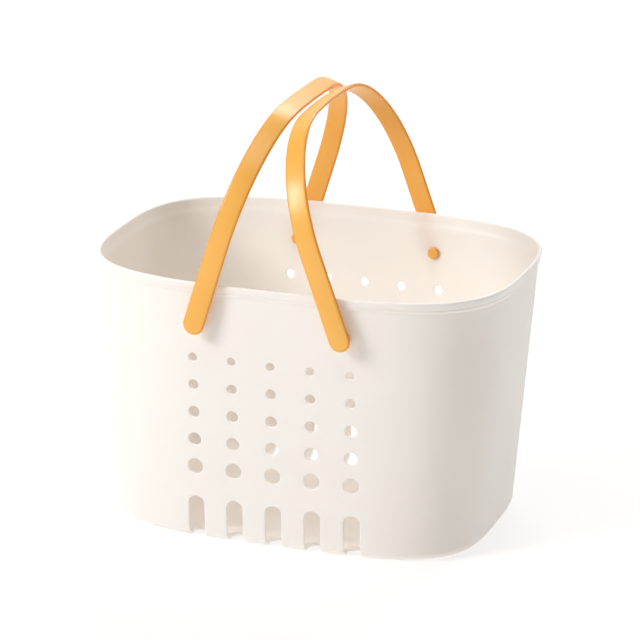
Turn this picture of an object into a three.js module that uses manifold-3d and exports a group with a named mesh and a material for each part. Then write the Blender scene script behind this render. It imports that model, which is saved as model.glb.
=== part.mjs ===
// Oval shower basket: one moulded basket with drain holes, and two moulded strap handles.
// Each handle swings on two snap rivets through the long walls. Millimetres, +Z up,
// +X along the basket, the front at -Y, and the origin at the middle of the underside.
import * as THREE from "three";
import { mergeVertices } from "three/addons/utils/BufferGeometryUtils.js";
import Module from "manifold-3d";

// Basket outline, as superellipses: a higher squareness has tighter corners.
const RIM_LENGTH = 290;
const RIM_WIDTH = 211.3;
const RIM_SQUARENESS = 3.3;
const END_TAPER = 14.5; // how far each end wall leans out between the floor and the rim
const SIDE_TAPER = 13.65; // and each long wall
const BASE_SQUARENESS = 3.8;
const HEIGHT = 184.5;

// Basket section.
const WALL = 2;
const FLOOR = 2.2;
const FOOT_RADIUS = 6.5; // outside radius between the floor and the walls
const RIM_PROUD = 1.5; // the lip stands this far out from the wall below the rim
const RIM_BAND = 5.2; // height of the flared band, from the lip's top to its lower edge
const RIM_BEAD = 2; // height of the thin bead under the band
const RIM_FLARE = 0.45; // the band's lower edge stands this far in from the lip
const RIM_STEP = 0.3; // the bead stands this far in from the band
const STEP_SLOPE = 0.2; // height over which each step of the rim slopes
const LIP_THICKNESS = 2.4;

// Drain holes in each long wall, top row first, and the arched slots at the wall's foot.
const HOLE_DIAMETERS = [6, 7, 8, 9, 11];
const HOLE_COLUMNS = 5;
const COLUMN_PITCH = 27.3;
const ROWS_BELOW_PIVOTS = 26.3; // from the pivots down to the middle of the top row
const ROWS_ABOVE_SLOTS = 21.8; // from the slots' tops up to the middle of the bottom row
const SLOT_WIDTH = 11.4;
const SLOT_HEIGHT = 31;
const SLOT_REACH = 15; // how far each slot runs in across the floor from the wall's outer face

// Handles: straight legs, round shoulders and a slightly crowned grip.
const PIVOT_OFFSET = 50.2; // from the middle of the basket, along X
const PIVOT_DEPTH = 27; // below the lip
const LEG_CLEARANCE = 2.35; // from the lip to the inner face of each leg
const HANDLE_LEG = 58.2; // straight length above the pivot
const SHOULDER_RADIUS = 80.4;
const CROWN_RADIUS = 560;
const STRAP_THICKNESS = 2.4;
const STRAP_FOOT_WIDTH = 14.4;
const STRAP_CROWN_WIDTH = 13.8;
const GRIP_OVERRUN = 4.2; // the right grip's edge stands this far past the middle of the basket
const GRIP_GAP = 0.5; // from the right grip's outer face to the left grip's lower edge

// Rivets and what they run in.
const RIVET_HEAD_DIAMETER = 8;
const RIVET_HEAD_THICKNESS = 1.6;
const RIVET_SHANK_DIAMETER = 6;
const RIVET_SPIGOT_DIAMETER = 4;
const RIVET_SPIGOT_LENGTH = 3.4;
const BOSS_DIAMETER = 10;
const CLEARANCE = 0.3;

// Facets.
const OVAL_STEPS = 72; // a multiple of 4
const CORNER_STEPS = 4;
const HOLE_STEPS = 14;
const BEND_STEPS = 12; // round each shoulder and half of the crown, on the strap
const CUT = 2; // how far a cutter runs past what it cuts

const IVORY = new THREE.MeshStandardMaterial({ color: 0xf5ebe2, roughness: 0.5, metalness: 0 });
const ORANGE = new THREE.MeshStandardMaterial({ color: 0xf9a83f, roughness: 0.42, metalness: 0 });

const wasm = await Module();
wasm.setup();

function solidFrom(geometry) {
  const plain = geometry.clone();
  for (const name of ["normal", "uv"]) plain.deleteAttribute(name);
  const merged = mergeVertices(plain, 1e-4);
  const triVerts = new Uint32Array(merged.index.array);
  const vertProperties = new Float32Array(merged.attributes.position.array);
  return new wasm.Manifold(new wasm.Mesh({ numProp: 3, vertProperties, triVerts }));
}

function meshFrom(solid, name, material) {
  const { vertProperties, triVerts } = solid.getMesh();
  const geometry = new THREE.BufferGeometry();
  geometry.setAttribute("position", new THREE.BufferAttribute(vertProperties, 3));
  geometry.setIndex(new THREE.BufferAttribute(triVerts, 1));
  geometry.computeVertexNormals();
  const mesh = new THREE.Mesh(geometry, material);
  mesh.name = name;
  return mesh;
}

// A solid cylinder along Y between two places.
function rodAlongY(diameter, fromY, toY, steps) {
  const geometry = new THREE.CylinderGeometry(diameter / 2, diameter / 2, Math.abs(toY - fromY), steps);
  geometry.translate(0, (fromY + toY) / 2, 0);
  return geometry;
}

// ---- Basket ----

// The surface that the lip would follow down to the floor, which everything else is inset from.
function outlineAt(z) {
  const share = z / HEIGHT;
  return {
    halfLength: RIM_LENGTH / 2 - END_TAPER * (1 - share),
    halfWidth: RIM_WIDTH / 2 - SIDE_TAPER * (1 - share),
    squareness: BASE_SQUARENESS + (RIM_SQUARENESS - BASE_SQUARENESS) * share,
  };
}

function ovalRing(inset, z) {
  const { halfLength, halfWidth, squareness } = outlineAt(z);
  const power = 2 / squareness;
  const along = (half, t) => (half - inset) * Math.sign(t) * Math.abs(t) ** power;
  const ring = [];
  for (let i = 0; i < OVAL_STEPS; i++) {
    const angle = (2 * Math.PI * i) / OVAL_STEPS;
    const cos = i % (OVAL_STEPS / 2) === OVAL_STEPS / 4 ? 0 : Math.cos(angle);
    const sin = i % (OVAL_STEPS / 2) === 0 ? 0 : Math.sin(angle);
    ring.push([along(halfLength, cos), along(halfWidth, sin), z]);
  }
  return ring;
}

// A wall face's distance from the middle plane at a place on the long side.
function wallFaceAt(x, z, inset) {
  const { halfLength, halfWidth, squareness } = outlineAt(z);
  const share = (Math.abs(x) / (halfLength - inset)) ** squareness;
  return (halfWidth - inset) * (1 - share) ** (1 / squareness);
}

// A closed surface through rings that run up the outside, over the rim and down the inside.
function loft(rings) {
  const count = rings[0].length;
  const points = [[0, 0, rings[0][0][2]], ...rings.flat(), [0, 0, rings.at(-1)[0][2]]];
  const last = points.length - 1;
  const index = [];
  for (let i = 0; i < count; i++) {
    const next = (i + 1) % count;
    index.push(0, 1 + next, 1 + i);
    for (let r = 0; r < rings.length - 1; r++) {
      const low = 1 + r * count;
      const high = low + count;
      index.push(low + i, low + next, high + next, low + i, high + next, high + i);
    }
    const inner = 1 + (rings.length - 1) * count;
    index.push(last, inner + i, inner + next);
  }
  const geometry = new THREE.BufferGeometry();
  geometry.setAttribute("position", new THREE.Float32BufferAttribute(points.flat(), 3));
  geometry.setIndex(index);
  return geometry;
}

// Insets and heights round a quarter circle, from one direction to the next.
function corner(insetCentre, zCentre, radius, fromAngle, toAngle) {
  const steps = [];
  for (let i = 0; i <= CORNER_STEPS; i++) {
    const angle = THREE.MathUtils.degToRad(fromAngle + ((toAngle - fromAngle) * i) / CORNER_STEPS);
    steps.push([insetCentre - radius * Math.cos(angle), zCentre + radius * Math.sin(angle)]);
  }
  return steps;
}

const INNER_INSET = RIM_PROUD + WALL;
const LIP_RADIUS = LIP_THICKNESS / 2;
const BAND_TOP = HEIGHT - LIP_RADIUS;
const BAND_FOOT = HEIGHT - RIM_BAND;
const BEAD_FOOT = BAND_FOOT - RIM_BEAD;

function basketShell() {
  const innerRadius = FOOT_RADIUS - WALL;
  const section = [
    ...corner(RIM_PROUD + FOOT_RADIUS, FOOT_RADIUS, FOOT_RADIUS, -90, 0),
    [RIM_PROUD, HEIGHT / 3],
    [RIM_PROUD, (2 * HEIGHT) / 3],
    [RIM_PROUD, BEAD_FOOT],
    [RIM_FLARE + RIM_STEP, BEAD_FOOT + STEP_SLOPE],
    [RIM_FLARE + RIM_STEP, BAND_FOOT],
    [RIM_FLARE, BAND_FOOT + STEP_SLOPE],
    ...corner(LIP_RADIUS, BAND_TOP, LIP_RADIUS, 0, 180),
    [INNER_INSET, BAND_FOOT],
    [INNER_INSET, (2 * HEIGHT) / 3],
    [INNER_INSET, HEIGHT / 3],
    ...corner(INNER_INSET + innerRadius, FLOOR + innerRadius, innerRadius, 0, -90),
  ];
  return solidFrom(loft(section.map(([inset, z]) => ovalRing(inset, z))));
}

// One cutter makes the same hole in the front and the back wall.
function throughBothWalls(diameter, x, z) {
  const reach = RIM_WIDTH / 2 + CUT;
  return solidFrom(rodAlongY(diameter, -reach, reach, HOLE_STEPS).translate(x, 0, z));
}

// A doorway through the wall that ends in a half round across the floor.
function slotCutter(x, side) {
  const radius = SLOT_WIDTH / 2;
  const mouth = RIM_WIDTH / 2 + CUT;
  const endCentre = wallFaceAt(x, 0, RIM_PROUD) - SLOT_REACH + radius;
  const door = new THREE.Shape();
  door.moveTo(-radius, -CUT);
  door.lineTo(radius, -CUT);
  door.absarc(0, SLOT_HEIGHT - radius, radius, 0, Math.PI, false);
  door.closePath();
  const depth = mouth - endCentre;
  const curveSegments = HOLE_STEPS / 2;
  const doorway = new THREE.ExtrudeGeometry(door, { depth, bevelEnabled: false, curveSegments });
  doorway.rotateX(Math.PI / 2).translate(x, side > 0 ? mouth : -endCentre, 0);
  const endHeight = 2 * CUT + FOOT_RADIUS;
  const end = new THREE.CylinderGeometry(radius, radius, endHeight, HOLE_STEPS);
  end.rotateX(Math.PI / 2).translate(x, side * endCentre, endHeight / 2 - CUT);
  return solidFrom(doorway).add(solidFrom(end));
}

const PIVOT_HEIGHT = HEIGHT - PIVOT_DEPTH;
const TOP_ROW_HEIGHT = PIVOT_HEIGHT - ROWS_BELOW_PIVOTS;
const BOTTOM_ROW_HEIGHT = SLOT_HEIGHT + ROWS_ABOVE_SLOTS;
const ROW_PITCH = (TOP_ROW_HEIGHT - BOTTOM_ROW_HEIGHT) / (HOLE_DIAMETERS.length - 1);

function basketBody() {
  let body = basketShell();
  for (let column = 0; column < HOLE_COLUMNS; column++) {
    const x = (column - (HOLE_COLUMNS - 1) / 2) * COLUMN_PITCH;
    HOLE_DIAMETERS.forEach((diameter, row) => {
      body = body.subtract(throughBothWalls(diameter, x, TOP_ROW_HEIGHT - row * ROW_PITCH));
    });
    for (const side of [-1, 1]) body = body.subtract(slotCutter(x, side));
  }
  for (const side of [-1, 1]) {
    const bore = RIVET_SHANK_DIAMETER + 2 * CLEARANCE;
    body = body.subtract(throughBothWalls(bore, side * PIVOT_OFFSET, PIVOT_HEIGHT));
  }
  return meshFrom(body, "basket_body", IVORY);
}

// ---- Handles and rivets, each handle in its own upright frame with the pivot at the origin ----

// The wall leans, so each flat face that turns against it is set clear of its nearest point.
const BOSS_FACE =
  wallFaceAt(PIVOT_OFFSET - BOSS_DIAMETER / 2, PIVOT_HEIGHT + BOSS_DIAMETER / 2, RIM_PROUD) + CLEARANCE;
const HEAD_FACE =
  wallFaceAt(
    PIVOT_OFFSET + RIVET_HEAD_DIAMETER / 2,
    PIVOT_HEIGHT - RIVET_HEAD_DIAMETER / 2,
    INNER_INSET,
  ) - CLEARANCE;
const LEG_FACE = RIM_WIDTH / 2 + LEG_CLEARANCE + STRAP_THICKNESS;
const CROWN_CENTRE =
  HANDLE_LEG - Math.sqrt((CROWN_RADIUS - SHOULDER_RADIUS) ** 2 - (LEG_FACE - SHOULDER_RADIUS) ** 2);
const CROWN_HEIGHT = CROWN_CENTRE + CROWN_RADIUS;

// The handles lean inward until their grips meet: the left grip's lower edge rests on the right
// grip's outer face. Leans are in radians from upright.
const GRIP_HALF = STRAP_CROWN_WIDTH / 2;
const GRIP_INNER_HEIGHT = CROWN_HEIGHT - STRAP_THICKNESS;
const RIGHT_LEAN =
  Math.asin((PIVOT_OFFSET + GRIP_OVERRUN) / Math.hypot(CROWN_HEIGHT, GRIP_HALF)) -
  Math.atan2(GRIP_HALF, CROWN_HEIGHT);
const FACE_OVER_LEFT_PIVOT = CROWN_HEIGHT + GRIP_GAP - 2 * PIVOT_OFFSET * Math.sin(RIGHT_LEAN);
const LEFT_LEAN =
  Math.acos(FACE_OVER_LEFT_PIVOT / Math.hypot(GRIP_INNER_HEIGHT, GRIP_HALF)) -
  Math.atan2(GRIP_HALF, GRIP_INNER_HEIGHT) -
  RIGHT_LEAN;

// The strap's bent line, drawn from one foot over the crown to the other, inset from its outer face.
function archLine(inset) {
  const shoulderCentre = LEG_FACE - SHOULDER_RADIUS;
  const tangent = Math.asin(shoulderCentre / (CROWN_RADIUS - SHOULDER_RADIUS));
  const foot = -STRAP_FOOT_WIDTH;
  const line = new THREE.Path();
  line.moveTo(LEG_FACE - inset, foot);
  line.lineTo(LEG_FACE - inset, HANDLE_LEG);
  line.absarc(shoulderCentre, HANDLE_LEG, SHOULDER_RADIUS - inset, 0, Math.PI / 2 - tangent, false);
  line.absarc(0, CROWN_CENTRE, CROWN_RADIUS - inset, Math.PI / 2 - tangent, Math.PI / 2 + tangent, false);
  line.absarc(-shoulderCentre, HANDLE_LEG, SHOULDER_RADIUS - inset, Math.PI / 2 + tangent, Math.PI, false);
  line.lineTo(-(LEG_FACE - inset), foot);
  return line.getPoints(BEND_STEPS / 2);
}

function strap() {
  const bent = new THREE.Shape([...archLine(0), ...archLine(STRAP_THICKNESS).reverse()]);
  const width = 2 * STRAP_FOOT_WIDTH;
  const sheet = new THREE.ExtrudeGeometry(bent, { depth: width, bevelEnabled: false });
  const [across, up, along] = [
    new THREE.Vector3(0, 1, 0),
    new THREE.Vector3(0, 0, 1),
    new THREE.Vector3(1, 0, 0),
  ];
  sheet.translate(0, 0, -width / 2).applyMatrix4(new THREE.Matrix4().makeBasis(across, up, along));
  const face = new THREE.Shape();
  face.absarc(0, 0, STRAP_FOOT_WIDTH / 2, Math.PI, 2 * Math.PI, false);
  face.lineTo(STRAP_CROWN_WIDTH / 2, CROWN_HEIGHT + CUT);
  face.lineTo(-STRAP_CROWN_WIDTH / 2, CROWN_HEIGHT + CUT);
  face.closePath();
  const depth = 2 * (LEG_FACE + CUT);
  const curveSegments = HOLE_STEPS;
  const outline = new THREE.ExtrudeGeometry(face, { depth, bevelEnabled: false, curveSegments });
  outline.rotateX(Math.PI / 2).translate(0, depth / 2, 0);
  return solidFrom(sheet).intersect(solidFrom(outline));
}

function handleSolid() {
  let handle = strap();
  for (const side of [-1, 1]) {
    const root = side * (LEG_FACE - STRAP_THICKNESS / 2);
    handle = handle.add(solidFrom(rodAlongY(BOSS_DIAMETER, side * BOSS_FACE, root, 2 * HOLE_STEPS)));
    const socketEnd = BOSS_FACE + RIVET_SPIGOT_LENGTH + CLEARANCE;
    const socketDiameter = RIVET_SPIGOT_DIAMETER + 2 * CLEARANCE;
    const socket = rodAlongY(socketDiameter, side * (BOSS_FACE - CUT), side * socketEnd, HOLE_STEPS);
    handle = handle.subtract(solidFrom(socket));
  }
  return handle;
}

// A turned profile: a domed head inside the basket, the shank that turns in the wall, and the
// spigot pressed into the handle's boss.
function rivetSolid(side) {
  const head = RIVET_HEAD_DIAMETER / 2;
  const top = HEAD_FACE - RIVET_HEAD_THICKNESS;
  const profile = [
    [0, top],
    [head * 0.7, top + RIVET_HEAD_THICKNESS * 0.15],
    [head, top + RIVET_HEAD_THICKNESS * 0.6],
    [head, HEAD_FACE],
    [RIVET_SHANK_DIAMETER / 2, HEAD_FACE],
    [RIVET_SHANK_DIAMETER / 2, BOSS_FACE - CLEARANCE],
    [RIVET_SPIGOT_DIAMETER / 2, BOSS_FACE - CLEARANCE],
    [RIVET_SPIGOT_DIAMETER / 2, BOSS_FACE + RIVET_SPIGOT_LENGTH],
    [0, BOSS_FACE + RIVET_SPIGOT_LENGTH],
  ].map(([radius, y]) => new THREE.Vector2(radius, y));
  const turned = new THREE.LatheGeometry(profile, HOLE_STEPS);
  if (side < 0) turned.rotateZ(Math.PI);
  return solidFrom(turned);
}

function handleGroup(name, side, lean) {
  const group = new THREE.Group();
  group.add(meshFrom(handleSolid(), `${name}_handle`, ORANGE));
  group.add(meshFrom(rivetSolid(-1), `${name}_front_rivet`, ORANGE));
  group.add(meshFrom(rivetSolid(1), `${name}_back_rivet`, ORANGE));
  group.position.set(side * PIVOT_OFFSET, 0, PIVOT_HEIGHT);
  group.rotation.y = -side * lean;
  return group;
}

const basket = new THREE.Group();
basket.add(basketBody(), handleGroup("left", -1, LEFT_LEAN), handleGroup("right", 1, RIGHT_LEAN));
export default basket;
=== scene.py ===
# An oval shower basket in ivory plastic with two orange strap handles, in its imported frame.
# Sections follow the object as it is put together: the studio, the basket, the handles, the rivets.
import math

import bmesh
import bpy
import numpy as np
from mathutils import Matrix, Vector


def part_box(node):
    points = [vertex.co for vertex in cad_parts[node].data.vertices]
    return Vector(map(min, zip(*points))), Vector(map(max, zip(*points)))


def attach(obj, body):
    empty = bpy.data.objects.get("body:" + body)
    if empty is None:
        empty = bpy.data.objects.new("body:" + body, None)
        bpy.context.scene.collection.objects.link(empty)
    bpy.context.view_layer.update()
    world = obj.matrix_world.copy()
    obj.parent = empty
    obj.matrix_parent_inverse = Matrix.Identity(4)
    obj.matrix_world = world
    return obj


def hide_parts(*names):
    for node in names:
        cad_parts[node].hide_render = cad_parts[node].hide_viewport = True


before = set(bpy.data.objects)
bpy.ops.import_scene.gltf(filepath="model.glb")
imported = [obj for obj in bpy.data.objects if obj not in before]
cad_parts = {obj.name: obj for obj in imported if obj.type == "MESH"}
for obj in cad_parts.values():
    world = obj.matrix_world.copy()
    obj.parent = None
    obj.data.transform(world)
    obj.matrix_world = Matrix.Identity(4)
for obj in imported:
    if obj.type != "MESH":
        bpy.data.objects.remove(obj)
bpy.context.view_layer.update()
scene = bpy.context.scene

# ---------------------------------------------------------------------------------------------
# Studio. A long lens looks a little down on the basket from its front right. The floor and its
# backdrop are one pale sweep that glows like a light table. A soft key stands at the front left,
# a weaker light hangs overhead, and a strip high at the back gives the grips their sheen and shines
# a little through the far wall.
CAMERA_AZIMUTH = math.radians(18.48)
CAMERA_ELEVATION = math.radians(18.18)
CAMERA_ROLL = math.radians(0.77)
CAMERA_DISTANCE = 2.466
CAMERA_AIM = Vector((-0.0051, 0.0163, 0.1272))
CAMERA_LENS = 203.0  # millimetres, before a sensor 36 mm wide


def direction(azimuth, elevation):
    """From the object towards a place, with azimuth 0 at the front and rising to the right."""
    level = math.cos(elevation)
    return Vector((math.sin(azimuth) * level, -math.cos(azimuth) * level, math.sin(elevation)))


def place_camera():
    back = direction(CAMERA_AZIMUTH, CAMERA_ELEVATION)
    right = Vector((math.cos(CAMERA_AZIMUTH), math.sin(CAMERA_AZIMUTH), 0))
    up = back.cross(right)
    across = math.cos(CAMERA_ROLL) * right + math.sin(CAMERA_ROLL) * up
    upward = back.cross(across)
    camera = bpy.data.objects.new("camera", bpy.data.cameras.new("camera"))
    scene.collection.objects.link(camera)
    camera.data.lens = CAMERA_LENS
    camera.data.clip_end = 20
    turn = Matrix((across, upward, back)).transposed().to_4x4()
    camera.matrix_world = Matrix.Translation(CAMERA_AIM + CAMERA_DISTANCE * back) @ turn
    scene.camera = camera


def window_of_light(name, azimuth, elevation, distance, size, watts, colour):
    """A rectangular lamp that faces the basket; the camera doesn't see it."""
    light = bpy.data.lights.new(name, "AREA")
    light.shape = "RECTANGLE"
    light.size, light.size_y = size
    light.energy = watts
    light.color = colour
    holder = bpy.data.objects.new(name, light)
    scene.collection.objects.link(holder)
    holder.visible_camera = False
    towards = direction(math.radians(azimuth), math.radians(elevation))
    holder.location = CAMERA_AIM + distance * towards
    holder.rotation_euler = towards.to_track_quat("Z", "Y").to_euler()


SWEEP_FRONT = -6.0
SWEEP_BACK = 3.0  # where the floor starts to rise
SWEEP_RADIUS = 1.5
SWEEP_HEIGHT = 5.0
SWEEP_WIDTH = 14.0
SWEEP_COLOUR = (0.45, 0.45, 0.45, 1)
SWEEP_GLOW_COLOUR = (1.0, 0.99, 0.98, 1)
SWEEP_GLOW = 0.63
AIR_COLOUR = (1.0, 0.98, 0.955, 1)
AIR_GLOW = 0.09


def pale_sweep():
    profile = [(SWEEP_FRONT, 0.0)]
    for degrees in range(0, 91, 6):
        turn = math.radians(degrees)
        profile.append((SWEEP_BACK + SWEEP_RADIUS * math.sin(turn), SWEEP_RADIUS * (1 - math.cos(turn))))
    profile.append((SWEEP_BACK + SWEEP_RADIUS, SWEEP_HEIGHT))
    half = SWEEP_WIDTH / 2
    points = [(x, y, z) for y, z in profile for x in (-half, half)]
    faces = [(2 * i, 2 * i + 1, 2 * i + 3, 2 * i + 2) for i in range(len(profile) - 1)]
    mesh = bpy.data.meshes.new("floor")
    mesh.from_pydata(points, [], faces)
    mesh.shade_smooth()
    floor = bpy.data.objects.new("floor", mesh)
    scene.collection.objects.link(floor)
    paint = bpy.data.materials.new("pale_sweep")
    paint.use_nodes = True
    shader = paint.node_tree.nodes["Principled BSDF"]
    shader.inputs["Base Color"].default_value = SWEEP_COLOUR
    shader.inputs["Roughness"].default_value = 0.9
    shader.inputs["Specular IOR Level"].default_value = 0.1
    shader.inputs["Emission Color"].default_value = SWEEP_GLOW_COLOUR
    shader.inputs["Emission Strength"].default_value = SWEEP_GLOW
    mesh.materials.append(paint)


place_camera()
pale_sweep()
window_of_light("key", -46, 31, 2.6, (0.9, 0.9), 41, (1.0, 0.985, 0.99))
window_of_light("overhead", 0, 78, 2.4, (1.4, 1.4), 18, (1.0, 0.995, 1.0))
window_of_light("back_strip", 178, 45, 2.2, (1.6, 0.6), 22, (0.97, 0.99, 1.02))
world = bpy.data.worlds.new("studio")
world.use_nodes = True
world.node_tree.nodes["Background"].inputs["Color"].default_value = AIR_COLOUR
world.node_tree.nodes["Background"].inputs["Strength"].default_value = AIR_GLOW
scene.world = world
scene.view_settings.view_transform = "Standard"

# ---------------------------------------------------------------------------------------------
# Basket. One shot of ivory polypropylene, about 2 mm thick, with a fine satin skin from the mould.
# Its walls lean out to a flared lip, and side cores leave the rows of round drain holes, the arched
# slots at the foot and the two holes on each side that the handles' rivets turn in.
RIM_HALF = Vector((0.145, 0.10565))
RIM_SQUARENESS = 3.3
BASE_HALF = Vector((0.1305, 0.092))
BASE_SQUARENESS = 3.8
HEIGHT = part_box("basket_body")[1].z
WALL = 0.002
FLOOR = 0.0022
FOOT_RADIUS = 0.0065
RIM_PROUD = 0.0015  # how far the lip stands out past the wall
LIP_RADIUS = 0.0012
BAND_FOOT = HEIGHT - 0.0052
BEAD_FOOT = BAND_FOOT - 0.002
COLUMN_PITCH = 0.0273
ROW_PITCH = 0.0196
TOP_ROW = 0.1312
HOLE_RADII = (0.003, 0.0035, 0.004, 0.0045, 0.0055)  # from the top row down
SLOT_RADIUS = 0.0057
SLOT_ARCH = 0.0253  # height of the arch's centre
SLOT_END = 0.0108  # inset of the centre of the slot's round end in the floor
PIVOT = Vector((0.0502, 0, 0.1575))
PIVOT_HOLE_RADIUS = 0.0033
PIVOT_CELL = 0.0078  # half the height of the stretch of wall round a pivot
EDGE_RADIUS = 0.00035  # the soft edge of each hole
COLUMN_CUTS = 8  # faces across one column of holes
END_CUTS = 76
HALF_FRONT = 2.5 * COLUMN_PITCH


def stretch(start, end, steps):
    """Places from start to end in equal steps, without the first."""
    return [start + (end - start) * (i + 1) / steps for i in range(steps)]


def arc(centre, radius, start, end, steps):
    """(inset, height) round a corner, from one angle to another, without the first."""
    turns = [math.radians(a) for a in stretch(start, end, steps)]
    return [(centre[0] - radius * math.cos(a), centre[1] + radius * math.sin(a)) for a in turns]


# The levels from the floor to the rim's foot, where the outside and the inside keep in step.
FLOOR_STEPS = 5
FOOT_STEPS = 8
FLOOR_INSET = 0.022
floor_insets = [FLOOR_INSET] + stretch(FLOOR_INSET, SLOT_END, FLOOR_STEPS - 1) + [RIM_PROUD + FOOT_RADIUS]
row_foot = TOP_ROW - 4.5 * ROW_PITCH
row_top = TOP_ROW + 0.5 * ROW_PITCH
pivot_foot = PIVOT.z - PIVOT_CELL
pivot_top = PIVOT.z + PIVOT_CELL
wall_heights = (
    stretch(FOOT_RADIUS, SLOT_ARCH, 6)
    + stretch(SLOT_ARCH, row_foot, 5)
    + stretch(row_foot, row_top, 5 * COLUMN_CUTS)
    + stretch(row_top, pivot_foot, 3)
    + stretch(pivot_foot, pivot_top, COLUMN_CUTS)
    + stretch(pivot_top, BEAD_FOOT - 0.0012, 3)
)
foot_centre = (RIM_PROUD + FOOT_RADIUS, FOOT_RADIUS)
outside = [(inset, 0.0) for inset in floor_insets]
inside = [(inset, FLOOR) for inset in floor_insets]
outside += arc(foot_centre, FOOT_RADIUS, -90, 0, FOOT_STEPS)
for degrees in stretch(-90, 0, FOOT_STEPS):
    turn = math.radians(degrees)
    inside.append((foot_centre[0] - (FOOT_RADIUS - WALL) * math.cos(turn),
                   foot_centre[1] + (FOOT_RADIUS - FLOOR) * math.sin(turn)))
outside += [(RIM_PROUD, z) for z in wall_heights]
inside += [(RIM_PROUD + WALL, z) for z in wall_heights]
SHARED_LEVELS = len(outside)
outside = np.array(outside)
inside = np.array(inside)

# Over the rim: the bead, the groove over it, the flared band, the round lip, and down the inside.
rim = [
    (RIM_PROUD - 0.00004, BEAD_FOOT - 0.0004),
    (RIM_PROUD - 0.00022, BEAD_FOOT - 0.0001),
    (RIM_PROUD - 0.00055, BEAD_FOOT + 0.00006),
    (0.00078, BEAD_FOOT + 0.0003),
    (0.00068, BEAD_FOOT + 0.0009),
    (0.00074, BAND_FOOT - 0.0004),
    (0.00088, BAND_FOOT - 0.0001),
    (0.00078, BAND_FOOT + 0.00012),
    (0.00052, BAND_FOOT + 0.0003),
    (0.00042, BAND_FOOT + 0.0008),
    (0.00026, BAND_FOOT + 0.0018),
    (0.0001, BAND_FOOT + 0.003),
]
rim += [(0.0, HEIGHT - LIP_RADIUS)] + arc((LIP_RADIUS, HEIGHT - LIP_RADIUS), LIP_RADIUS, 0, 180, 14)
rim += [(0.00255, HEIGHT - 0.0026), (0.003, HEIGHT - 0.0052), (0.0034, HEIGHT - 0.0082)]


def outline(height):
    """Half length, half width and squareness of the lip's surface carried down to a height."""
    share = np.asarray(height) / HEIGHT
    half_x = BASE_HALF.x + (RIM_HALF.x - BASE_HALF.x) * share
    half_y = BASE_HALF.y + (RIM_HALF.y - BASE_HALF.y) * share
    return half_x, half_y, BASE_SQUARENESS + (RIM_SQUARENESS - BASE_SQUARENESS) * share


def long_side(x, inset, height):
    """How far out a face of the long wall is at a place along it."""
    half_x, half_y, squareness = outline(height)
    share = (np.abs(x) / (half_x - inset)) ** squareness
    return (half_y - inset) * (1 - share) ** (1 / squareness)


def ring(inset, height, flatten=0.0):
    """One closed run of points: the front from left to right, an end, the back, the other end.
    flatten draws them in over the floor, from 0 at its edge to 1 at the middle."""
    half_x, half_y, squareness = outline(height)
    x = np.linspace(-HALF_FRONT, HALF_FRONT, 5 * COLUMN_CUTS + 1)
    side = long_side(x, inset, height)
    corner = math.atan2(side[-1], HALF_FRONT)
    turn = np.linspace(-corner, corner, END_CUTS + 1)[1:-1]
    reach = (np.abs(np.cos(turn) / (half_x - inset)) ** squareness
             + np.abs(np.sin(turn) / (half_y - inset)) ** squareness) ** (-1 / squareness)
    end = np.stack([reach * np.cos(turn), reach * np.sin(turn)], 1)
    front = np.stack([x, -side], 1)
    points = np.concatenate([front, end, -front, -end])
    spine = np.stack([np.clip(points[:, 0], -HALF_FRONT, HALF_FRONT), 0 * points[:, 1]], 1)
    points = points + flatten * (spine - points)
    return np.column_stack([points, np.full(len(points), height)])


class Shell:
    """Collects faces as point triples, and welds them where they meet."""

    def __init__(self):
        self.points, self.faces = [], []

    def strip(self, first, second, closed=True):
        """Quads between two runs of points of the same length."""
        start = sum(len(p) for p in self.points)
        count = len(first)
        self.points += [np.asarray(first), np.asarray(second)]
        last = count if closed else count - 1
        for i in range(last):
            j = (i + 1) % count
            self.faces.append((start + i, start + j, start + count + j, start + count + i))

    def object(self, name, weld=2e-6):
        mesh = bpy.data.meshes.new(name)
        mesh.from_pydata(np.concatenate(self.points).tolist(), [], self.faces)
        form = bmesh.new()
        form.from_mesh(mesh)
        bmesh.ops.remove_doubles(form, verts=form.verts, dist=weld)
        bmesh.ops.dissolve_degenerate(form, edges=form.edges, dist=weld)
        bmesh.ops.recalc_face_normals(form, faces=form.faces)
        form.to_mesh(mesh)
        form.free()
        mesh.shade_smooth()
        made = bpy.data.objects.new(name, mesh)
        scene.collection.objects.link(made)
        return made


def on_skin(skin, x, level, side):
    """Points of one skin of a long wall, at places along it and at levels between its rings."""
    steps = np.arange(len(skin))
    inset = np.interp(level, steps, skin[:, 0])
    height = np.interp(level, steps, skin[:, 1])
    return np.stack([x, side * long_side(x, inset, height), height], -1)


def level_at(height):
    """The level, whole or between two rings, where the wall is at a height."""
    return np.interp(height, outside[FLOOR_STEPS:, 1], np.arange(FLOOR_STEPS, SHARED_LEVELS))


def floor_level_at(inset):
    """The level where the floor is at an inset from the outline."""
    return np.interp(-inset, -outside[: FLOOR_STEPS + 1, 0], np.arange(FLOOR_STEPS + 1))


def cell_border(left, right, low, high):
    """Places round a cell of the wall, anticlockwise from its lower left corner."""
    x = np.linspace(left, right, COLUMN_CUTS + 1)
    levels = np.arange(low, high + 1)
    run = [(a, low) for a in x] + [(right, b) for b in levels[1:]]
    run += [(a, high) for a in x[-2::-1]] + [(left, b) for b in levels[-2:0:-1]]
    return np.array(run, float)


def round_loop(x, height):
    """A round hole's loop at any radius, one place for each of its cell's border places."""
    turns = np.radians(-135 + 360 * np.arange(4 * COLUMN_CUTS) / (4 * COLUMN_CUTS))
    return lambda radius: np.stack(
        [x + radius * np.cos(turns), level_at(height + radius * np.sin(turns))], 1)


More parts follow.
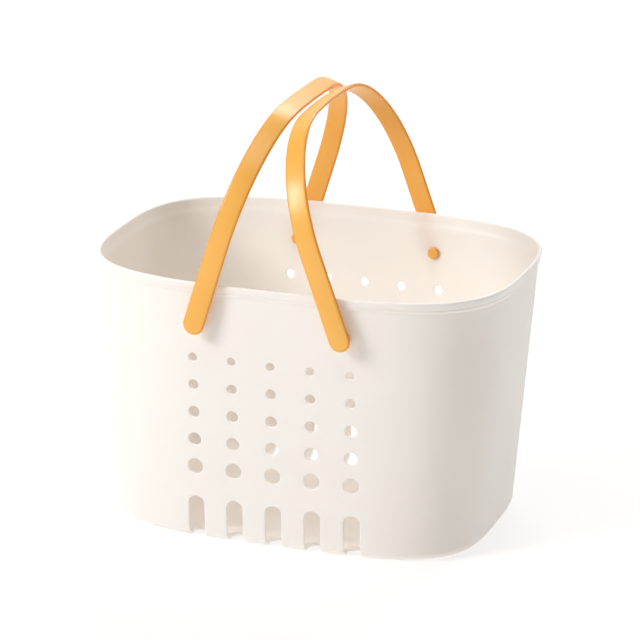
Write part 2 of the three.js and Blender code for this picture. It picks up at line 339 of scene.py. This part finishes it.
def slot_loop(x, low, high):
    """A slot's loop at any radius: the arch in the wall, straight sides, a round end in the floor."""
    end = int(round(floor_level_at(SLOT_END)))
    arch = int(round(level_at(SLOT_ARCH)))
    sides = np.arange(end, arch + 1)
    shoulder_low = end - low
    shoulder_high = high - arch
    below = np.radians(np.concatenate([
        np.linspace(-135, -45, COLUMN_CUTS + 1),
        np.linspace(-45, 0, shoulder_low + 1)[1:-1],
    ]))
    above = np.radians(np.concatenate([
        np.linspace(0, 45, shoulder_high + 1)[1:-1],
        np.linspace(45, 135, COLUMN_CUTS + 1),
        np.linspace(135, 180, shoulder_high + 1)[1:-1],
    ]))
    last = np.radians(np.linspace(-180, -135, shoulder_low + 1)[1:-1])

    def loop(radius):
        def in_floor(turns):
            levels = floor_level_at(SLOT_END - radius * np.sin(turns))
            return np.stack([x + radius * np.cos(turns), levels], 1)

        def in_wall(turns):
            levels = level_at(SLOT_ARCH + radius * np.sin(turns))
            return np.stack([x + radius * np.cos(turns), levels], 1)

        up = np.stack([np.full(len(sides), x + radius), sides], 1)
        down = np.stack([np.full(len(sides), x - radius), sides[::-1]], 1)
        return np.concatenate([in_floor(below), up, in_wall(above), down, in_floor(last)])

    return loop


def pierce(shell, border, loop, radius, side):
    """Fills a cell round its hole on both skins, and lines the hole from one skin to the other."""
    linings = []
    edge_loop = loop(radius + EDGE_RADIUS)
    spread = [border + (edge_loop - border) * share for share in (0, 0.3, 0.55, 0.78, 0.92, 1)]
    for skin, other in ((outside, inside), (inside, outside)):
        runs = [on_skin(skin, s[:, 0], s[:, 1], side) for s in spread]
        for degrees in (30, 60, 90):
            fall = math.radians(degrees)
            at = loop(radius + EDGE_RADIUS * (1 - math.sin(fall)))
            near = on_skin(skin, at[:, 0], at[:, 1], side)
            far = on_skin(other, at[:, 0], at[:, 1], side)
            depth = EDGE_RADIUS * (1 - math.cos(fall)) / WALL
            runs.append(near + (far - near) * depth)
        for first, second in zip(runs, runs[1:]):
            shell.strip(first, second)
        linings.append(runs[-1])
    shell.strip(*linings)


def long_wall(shell, side):
    """The pierced stretch of one long side, from the floor to the rim's foot, in cells."""
    slot_top = int(round(level_at(row_foot)))
    row_levels = [slot_top + COLUMN_CUTS * i for i in range(6)]
    pivot_low = int(round(level_at(pivot_foot)))
    pivot_high = pivot_low + COLUMN_CUTS
    for column in range(5):
        left = column * COLUMN_PITCH - HALF_FRONT
        right = left + COLUMN_PITCH
        x = (left + right) / 2
        pierce(shell, cell_border(left, right, 0, slot_top), slot_loop(x, 0, slot_top), SLOT_RADIUS, side)
        for row, radius in enumerate(HOLE_RADII):
            low = row_levels[4 - row]
            border = cell_border(left, right, low, low + COLUMN_CUTS)
            pierce(shell, border, round_loop(x, TOP_ROW - row * ROW_PITCH), radius, side)
        bare = [(row_levels[5], pivot_low), (pivot_high, SHARED_LEVELS - 1)]
        if column in (0, 4):
            border = cell_border(left, right, pivot_low, pivot_high)
            loop = round_loop(math.copysign(PIVOT.x, x), PIVOT.z)
            pierce(shell, border, loop, PIVOT_HOLE_RADIUS, side)
        else:
            bare.append((pivot_low, pivot_high))
        across = np.linspace(left, right, COLUMN_CUTS + 1)
        for skin in (outside, inside):
            for low, high in bare:
                for level in range(low, high):
                    foot = on_skin(skin, across, np.full(len(across), level), side)
                    head = on_skin(skin, across, np.full(len(across), level + 1), side)
                    shell.strip(foot, head, closed=False)


def basket_mesh():
    shell = Shell()
    front = 5 * COLUMN_CUTS + 1
    half = front + END_CUTS - 1
    ends = [np.arange(front - 1, half + 1), np.r_[np.arange(half + front - 1, 2 * half), 0]]
    for skin in (outside, inside):
        rings = [ring(inset, height) for inset, height in skin]
        for low, high in zip(rings, rings[1:]):
            for end in ends:
                shell.strip(low[end], high[end], closed=False)
        middle = [ring(skin[0, 0], skin[0, 1], flatten) for flatten in (0, 0.15, 0.35, 0.6, 0.85, 1)]
        for outer, inner in zip(middle, middle[1:]):
            shell.strip(outer, inner)
    over = [ring(*outside[-1])] + [ring(inset, height) for inset, height in rim] + [ring(*inside[-1])]
    for low, high in zip(over, over[1:]):
        shell.strip(low, high)
    for side in (-1, 1):
        long_wall(shell, side)
    return shell.object("basket")


class Wire:
    """A shader socket that takes part in arithmetic: each operator adds its Math node."""

    def __init__(self, tree, socket):
        self.tree, self.socket = tree, socket

    def maths(self, operation, first, second):
        return self.tree.add("ShaderNodeMath", {"operation": operation}, {0: first, 1: second})

    def __add__(self, other):
        return self.maths("ADD", self, other)

    def __sub__(self, other):
        return self.maths("SUBTRACT", self, other)

    def __rsub__(self, other):
        return self.maths("SUBTRACT", other, self)

    def __mul__(self, other):
        return self.maths("MULTIPLY", self, other)

    __radd__, __rmul__ = __add__, __mul__


class Paint:
    """A material's node tree, with one way to add a node."""

    def __init__(self, name):
        self.material = bpy.data.materials.new(name)
        self.material.use_nodes = True
        self.nodes = self.material.node_tree.nodes
        self.links = self.material.node_tree.links
        self.shader = self.nodes["Principled BSDF"]

    def add(self, kind, settings=None, inputs=None, output=0):
        node = self.nodes.new(kind)
        for name, value in (settings or {}).items():
            setattr(node, name, value)
        for name, value in (inputs or {}).items():
            self.feed(node.inputs[name], value)
        return Wire(self, node.outputs[output])

    def feed(self, socket, value):
        if isinstance(value, Wire):
            self.links.new(value.socket, socket)
        else:
            socket.default_value = value

    def rise(self, value, start, end, most=1.0):
        """0 below start, most above end, and a smooth rise between them."""
        return self.add("ShaderNodeMapRange", {"interpolation_type": "SMOOTHSTEP"}, {
            "Value": value, "From Min": start, "From Max": end, "To Min": 0.0, "To Max": most})

    def mix(self, share, first, second):
        """A colour between two colours."""
        return self.add("ShaderNodeMix", {"data_type": "RGBA"}, {0: share, 6: first, 7: second}, 2)

    def noise(self, place, scale, detail=3.0, roughness=0.5):
        return self.add("ShaderNodeTexNoise", {}, {
            "Vector": place, "Scale": scale, "Detail": detail, "Roughness": roughness}, "Fac")

    def translucent(self, weight, radius):
        """Light wanders this far through the plastic, in metres for red, green and blue."""
        self.feed(self.shader.inputs["Subsurface Weight"], weight)
        self.feed(self.shader.inputs["Subsurface Scale"], 1.0)
        self.feed(self.shader.inputs["Subsurface Radius"], radius)
        self.feed(self.shader.inputs["IOR"], POLYPROPYLENE_IOR)

    def finish(self, **inputs):
        for name, value in inputs.items():
            self.feed(self.shader.inputs[name.replace("_", " ")], value)
        return self.material


POLYPROPYLENE_IOR = 1.49
IVORY = (0.945, 0.877, 0.815, 1)
IVORY_DEEP = (0.92, 0.84, 0.772, 1)
IVORY_EDGE_HIGHLIGHT = (0.96, 0.91, 0.86, 1)  # painted highlight: convex edges drawn lighter, as where they catch the light


def ivory_plastic():
    paint = Paint("ivory_polypropylene")
    place = paint.add("ShaderNodeTexCoord", output="Object")
    cloud = paint.noise(place, 14)
    grain = paint.noise(place, 1500, 2)
    pores = paint.noise(place, 620, 4, 0.6)
    drift = paint.noise(place, 32, 2)
    height = grain * 0.6 + pores * 0.4
    bump = paint.add("ShaderNodeBump", {}, {"Strength": 0.09, "Distance": 0.0004, "Height": height})
    wavy = paint.add("ShaderNodeBump", {}, {
        "Strength": 0.12, "Distance": 0.0016, "Height": drift, "Normal": bump})
    # Painted highlight: convex edges (pointiness) are drawn lighter in colour; the lower roughness there
    # is real polish.
    edge_polish_and_highlight = paint.rise(paint.add("ShaderNodeNewGeometry", output="Pointiness"), 0.51, 0.58)
    skin = paint.mix(paint.rise(cloud, 0.35, 0.7, most=0.35), IVORY, IVORY_DEEP)
    paint.translucent(0.75, (0.0047, 0.0046, 0.0043))
    return paint.finish(
        Base_Color=paint.mix(edge_polish_and_highlight * 0.7, skin, IVORY_EDGE_HIGHLIGHT),
        Roughness=0.40 + 0.10 * cloud + 0.06 * pores - 0.10 * edge_polish_and_highlight,
        Normal=wavy,
    )


basket = basket_mesh()
basket.data.materials.append(ivory_plastic())
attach(basket, "basket")
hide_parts("basket_body")

# ---------------------------------------------------------------------------------------------
# Handles. Each is one orange polypropylene strap, bent into straight legs, round shoulders and a
# slightly crowned grip, with soft edges, a full round foot, and a boss inside each foot.
LEG_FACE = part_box("left_handle")[1].y
LEG_LENGTH = 0.0582
SHOULDER_RADIUS = 0.0804
CROWN_RADIUS = 0.56
STRAP_THICKNESS = 0.0024
STRAP_EDGE = 0.0014  # how far in from a side its rounding starts
STRAP_BULGE = 0.00025  # how far the outer face swells in the middle
FOOT_HALF = 0.0072
CROWN_HALF = 0.0069
BOSS_RADIUS = 0.005
BOSS_FACE = 0.10216  # just outside the wall at the pivots' height
BOSS_CHAMFER = 0.0003
GRIP_OVERRUN = 0.0042  # the right grip's edge stands this far past the middle of the basket
GRIP_GAP = 0.0005  # from the right grip's outer face to the left grip's lower edge
shoulder_centre = LEG_FACE - SHOULDER_RADIUS
shoulder_turn = math.acos(shoulder_centre / (CROWN_RADIUS - SHOULDER_RADIUS))
shoulder_end = LEG_LENGTH + SHOULDER_RADIUS * shoulder_turn
crown_centre = LEG_LENGTH - math.sqrt((CROWN_RADIUS - SHOULDER_RADIUS) ** 2 - shoulder_centre ** 2)


def arch_place(along):
    """Across, up, and the outward direction of the strap's outer face, a distance from a foot."""
    if along <= LEG_LENGTH:
        return LEG_FACE, along, 0.0
    if along <= shoulder_end:
        turn = (along - LEG_LENGTH) / SHOULDER_RADIUS
        across = shoulder_centre + SHOULDER_RADIUS * math.cos(turn)
        return across, LEG_LENGTH + SHOULDER_RADIUS * math.sin(turn), turn
    turn = shoulder_turn + (along - shoulder_end) / CROWN_RADIUS
    return CROWN_RADIUS * math.cos(turn), crown_centre + CROWN_RADIUS * math.sin(turn), turn


# The right handle leans in until its grip's edge is past the middle, and the left one leans in
# until its lower edge rests on the right grip's outer face.
CROWN_HEIGHT = crown_centre + CROWN_RADIUS
crown_at = shoulder_end + CROWN_RADIUS * (math.pi / 2 - shoulder_turn)
outer_reach = math.hypot(CROWN_HEIGHT, CROWN_HALF)
right_lean = math.asin((PIVOT.x + GRIP_OVERRUN) / outer_reach) - math.atan2(CROWN_HALF, CROWN_HEIGHT)
inner_height = CROWN_HEIGHT - STRAP_THICKNESS
inner_reach = math.hypot(inner_height, CROWN_HALF)
face_over_left_pivot = CROWN_HEIGHT + GRIP_GAP - 2 * PIVOT.x * math.sin(right_lean)
both_leans = math.acos(face_over_left_pivot / inner_reach) - math.atan2(CROWN_HALF, inner_height)
HANDLES = (("left_handle", -1, both_leans - right_lean), ("right_handle", 1, right_lean))


def strap_point(x, along, depth, side):
    across, up, turn = arch_place(along)
    return (x, side * (across - depth * math.cos(turn)), up - depth * math.sin(turn))


def strap_section(along, foot_turn, side):
    """One closed section: round the outer face, over an edge, the inner face and back. On the
    round foot, foot_turn swings the section's sides round to the tip."""
    flat = FOOT_HALF + (CROWN_HALF - FOOT_HALF) * along / crown_at - STRAP_EDGE
    half_depth = STRAP_THICKNESS / 2
    edge_turns = np.radians(np.linspace(90, -90, 9))
    section = []

    def add(reach, share, depth):
        x = reach * share * math.cos(foot_turn)
        drop = reach * math.sin(foot_turn)
        section.append(strap_point(x, along - drop, depth, side))

    shares = np.linspace(-1, 1, 13)[1:-1]
    for turn in edge_turns:
        add(flat + STRAP_EDGE * math.cos(turn), 1, half_depth * (1 - math.sin(turn)))
    for share in -shares:
        add(flat, share, STRAP_THICKNESS)
    for turn in edge_turns[::-1]:
        add(flat + STRAP_EDGE * math.cos(turn), -1, half_depth * (1 - math.sin(turn)))
    for share in shares:
        add(flat, share, -STRAP_BULGE * (1 - share * share))
    return section


def strap_mesh(name):
    shell = Shell()
    half_run = [(0.0, math.radians(a)) for a in (90, 84, 76, 66, 55, 43, 30, 15)]
    half_run += [(along, 0.0) for along in np.linspace(0, crown_at, 73)]
    run = [strap_section(along, turn, 1) for along, turn in half_run]
    run += [strap_section(along, turn, -1) for along, turn in half_run[-2::-1]]
    for first, second in zip(run, run[1:]):
        shell.strip(first, second)
    return shell.object(name, 1e-6)


def turned(name, profile, steps=64):
    """A turned piece about Y, from (radius, y) places that start and end on the axis."""
    shell = Shell()
    turns = [2 * math.pi * i / steps for i in range(steps)]
    rings = [[(r * math.cos(t), y, r * math.sin(t)) for t in turns] for r, y in profile]
    for first, second in zip(rings, rings[1:]):
        shell.strip(first, second)
    return shell.object(name, 1e-6)


def boss(side):
    """The round post inside a foot, from the middle of the strap in to the wall."""
    top = LEG_FACE - 0.6 * STRAP_THICKNESS
    soft = 0.3 * BOSS_CHAMFER
    profile = [
        (0, BOSS_FACE),
        (BOSS_RADIUS - BOSS_CHAMFER, BOSS_FACE),
        (BOSS_RADIUS - soft, BOSS_FACE + soft),
        (BOSS_RADIUS, BOSS_FACE + BOSS_CHAMFER),
        (BOSS_RADIUS, top),
        (0, top),
    ]
    return turned("boss", [(r, side * y) for r, y in profile])


def join(piece, other):
    change = piece.modifiers.new("join", "BOOLEAN")
    change.operation = "UNION"
    change.solver = "EXACT"
    change.object = other
    done = bpy.data.meshes.new_from_object(piece.evaluated_get(bpy.context.evaluated_depsgraph_get()))
    piece.modifiers.clear()
    piece.data = done
    bpy.data.objects.remove(other)


def stand_at_pivot(piece, side, lean):
    """Leans a piece made about the pivot in towards the middle, and moves it to its place."""
    turn = Matrix.Rotation(-side * lean, 4, "Y")
    piece.data.transform(Matrix.Translation((side * PIVOT.x, 0, PIVOT.z)) @ turn)


ORANGE = (0.99, 0.53, 0.11, 1)
ORANGE_DEEP = (0.97, 0.48, 0.08, 1)
# Painted shade: the deeper orange for the straps' rounded edges, where they turn from the light.
ORANGE_EDGE_SHADE = (0.93, 0.36, 0.035, 1)


def orange_plastic():
    paint = Paint("orange_polypropylene")
    place = paint.add("ShaderNodeTexCoord", output="Object")
    cloud = paint.noise(place, 22)
    grain = paint.noise(place, 1400, 2)
    drift = paint.noise(place, 48, 2)
    bump = paint.add("ShaderNodeBump", {}, {"Strength": 0.08, "Distance": 0.0003, "Height": grain})
    wavy = paint.add("ShaderNodeBump", {}, {
        "Strength": 0.1, "Distance": 0.001, "Height": drift, "Normal": bump})
    # Painted shade on convex strap edges (pointiness): their colour is drawn a deeper orange.
    painted_edge_shade = paint.rise(paint.add("ShaderNodeNewGeometry", output="Pointiness"), 0.503, 0.54)
    skin = paint.mix(paint.rise(cloud, 0.35, 0.7, most=0.5), ORANGE, ORANGE_DEEP)
    paint.translucent(0.5, (0.0034, 0.0019, 0.0008))
    return paint.finish(
        Base_Color=paint.mix(painted_edge_shade, skin, ORANGE_EDGE_SHADE),
        Roughness=0.27 + 0.07 * cloud + 0.04 * grain,
        Normal=wavy,
    )


handle_paint = orange_plastic()
for name, side, lean in HANDLES:
    strap = strap_mesh(name.replace("handle", "strap"))
    for where in (-1, 1):
        join(strap, boss(where))
    strap.data.shade_smooth()
    stand_at_pivot(strap, side, lean)
    strap.data.materials.clear()
    strap.data.materials.append(handle_paint)
    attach(strap, name)
    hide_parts(name)

# ---------------------------------------------------------------------------------------------
# Rivets. Four snap rivets in the handles' orange: a low domed head against the inside of the wall,
# and a shank that turns in the wall's hole and runs on into the handle's boss.
HEAD_RADIUS = 0.004
HEAD_THICKNESS = 0.0016
HEAD_FACE = 0.0983
HEAD_ROUNDING = 0.00088  # how much of the head's thickness is its dome
CROWN_SHARE = 0.8  # the dome is nearly flat out to this share of the head's radius
CROWN_FALL = 0.00022
SHANK_RADIUS = 0.003
SHANK_END = BOSS_FACE - 0.0003


def rivet_mesh(name, side):
    top = HEAD_FACE - HEAD_THICKNESS
    shares = (0, 0.3, 0.6, CROWN_SHARE)
    profile = [(HEAD_RADIUS * share, top + CROWN_FALL * share ** 2) for share in shares]
    radius, height = profile[-1]
    for degrees in (20, 40, 60, 80):
        turn = math.radians(degrees)
        profile.append((radius + (HEAD_RADIUS - radius) * math.sin(turn),
                        height + (top + HEAD_ROUNDING - height) * (1 - math.cos(turn))))
    profile += [
        (HEAD_RADIUS, HEAD_FACE - 0.0003),
        (HEAD_RADIUS - 0.0001, HEAD_FACE),
        (SHANK_RADIUS, HEAD_FACE),
        (SHANK_RADIUS, SHANK_END),
        (0, SHANK_END),
    ]
    return turned(name, [(r, side * y) for r, y in profile])


for name, side, lean in HANDLES:
    for where, word in ((-1, "front"), (1, "back")):
        node = name.replace("handle", f"{word}_rivet")
        rivet = rivet_mesh(f"{node}_moulded", where)
        stand_at_pivot(rivet, side, lean)
        rivet.data.materials.append(handle_paint)
        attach(rivet, name)
        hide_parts(node)
